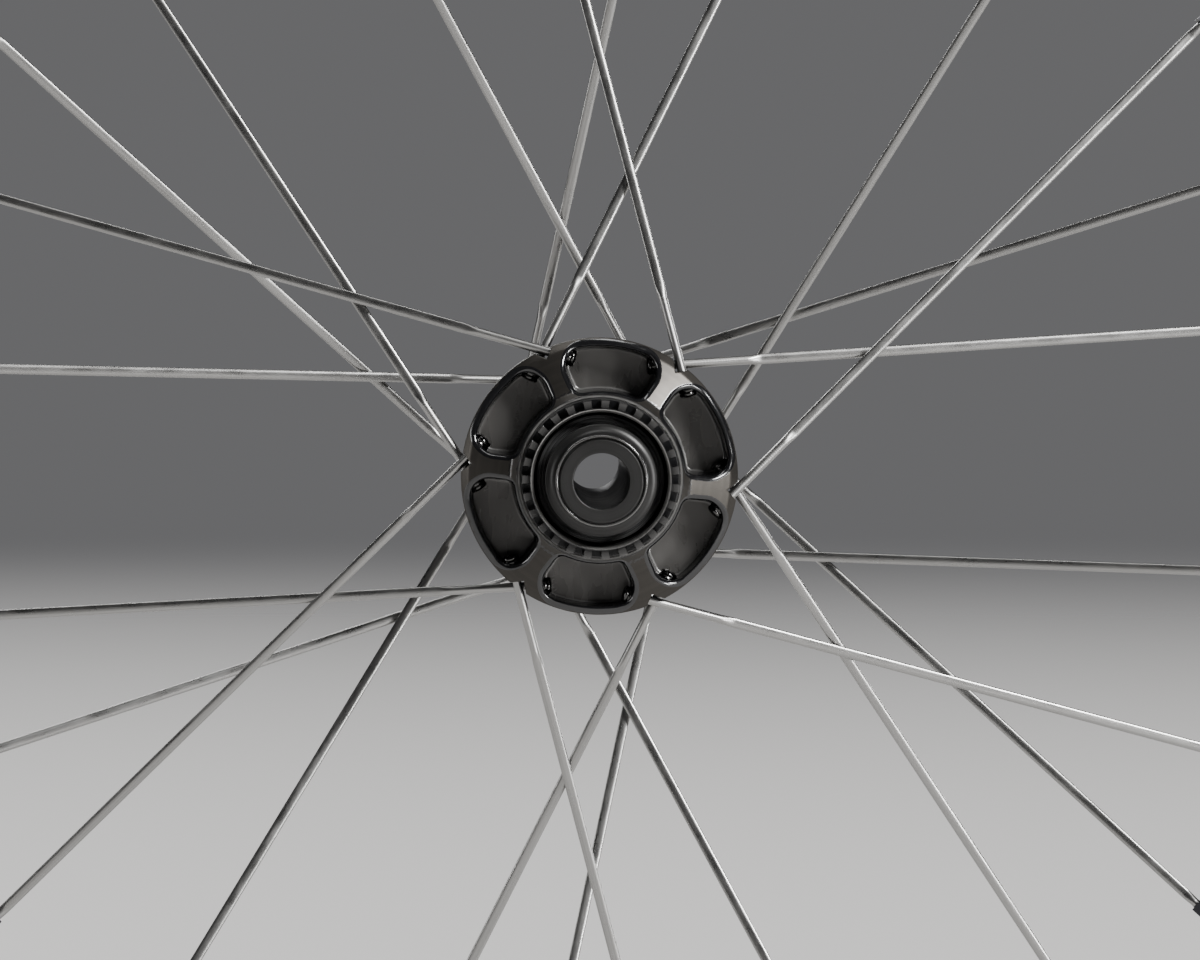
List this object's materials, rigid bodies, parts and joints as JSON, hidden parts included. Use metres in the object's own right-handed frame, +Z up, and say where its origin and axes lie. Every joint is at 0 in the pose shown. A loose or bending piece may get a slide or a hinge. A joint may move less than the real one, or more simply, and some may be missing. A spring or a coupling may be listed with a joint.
{
  "type": "straight-pull front disc hub with bladed spokes",
  "caption": "Black front disc hub with six-armed flanges, a rotor spline, push-on end caps and crossed straight-pull bladed spokes; the shell spins on bearings.",
  "frame": {"origin": "on the wheel axis, midway between the two end faces", "axes": "Y along the wheel axis with the disc side at -Y, +Z up, +X to the right when looking at the disc side"},
  "size_m": [0.3586, 0.1, 0.3602],
  "materials": {
    "anodised_shell": "glossy black anodised, turned and milled",
    "black_axle": "turned, black anodised",
    "satin_cap": "satin black anodised, turned",
    "seal_rubber": "matte black",
    "bearing_steel": "ground",
    "ball_steel": "polished",
    "cage_nylon": "moulded",
    "spoke_steel": "drawn and forged stainless, dark",
    "nipple_alloy": "black anodised"
  },
  "bodies": {
    "axle_group": {"axle": "black_axle", "left_end_cap": "satin_cap", "right_end_cap": "satin_cap", "left_cap_o_ring": "seal_rubber", "right_cap_o_ring": "seal_rubber", "left_inner_race": "bearing_steel", "right_inner_race": "bearing_steel"},
    "wheel": {"hub_shell": "anodised_shell", "left_dust_seal": "seal_rubber", "right_dust_seal": "seal_rubber", "left_outer_race": "bearing_steel", "right_outer_race": "bearing_steel", "left_outer_bearing_seal": "seal_rubber", "left_inner_bearing_seal": "seal_rubber", "right_outer_bearing_seal": "seal_rubber", "right_inner_bearing_seal": "seal_rubber", "left_front_spokes": "spoke_steel", "left_back_spokes": "spoke_steel", "right_front_spokes": "spoke_steel", "right_back_spokes": "spoke_steel", "left_nipples": "nipple_alloy", "right_nipples": "nipple_alloy"},
    "left_ball_set": {"left_balls": "ball_steel", "left_ball_cage": "cage_nylon"},
    "right_ball_set": {"right_balls": "ball_steel", "right_ball_cage": "cage_nylon"}
  },
  "joints": [
    {"name": "wheel_spin", "type": "hinge", "parent": "axle_group", "child": "wheel", "pos_m": [0, 0, 0], "axis": [0, 1, 0], "continuous": true},
    {"name": "left_ball_orbit", "type": "hinge", "parent": "axle_group", "child": "left_ball_set", "pos_m": [0, -0.032, 0], "axis": [0, 1, 0], "continuous": true},
    {"name": "right_ball_orbit", "type": "hinge", "parent": "axle_group", "child": "right_ball_set", "pos_m": [0, 0.032, 0], "axis": [0, 1, 0], "continuous": true}
  ],
  "couplings": [
    {"joint": "left_ball_orbit", "follows": "wheel_spin", "ratio": 0.5814},
    {"joint": "right_ball_orbit", "follows": "wheel_spin", "ratio": 0.5814}
  ]
}
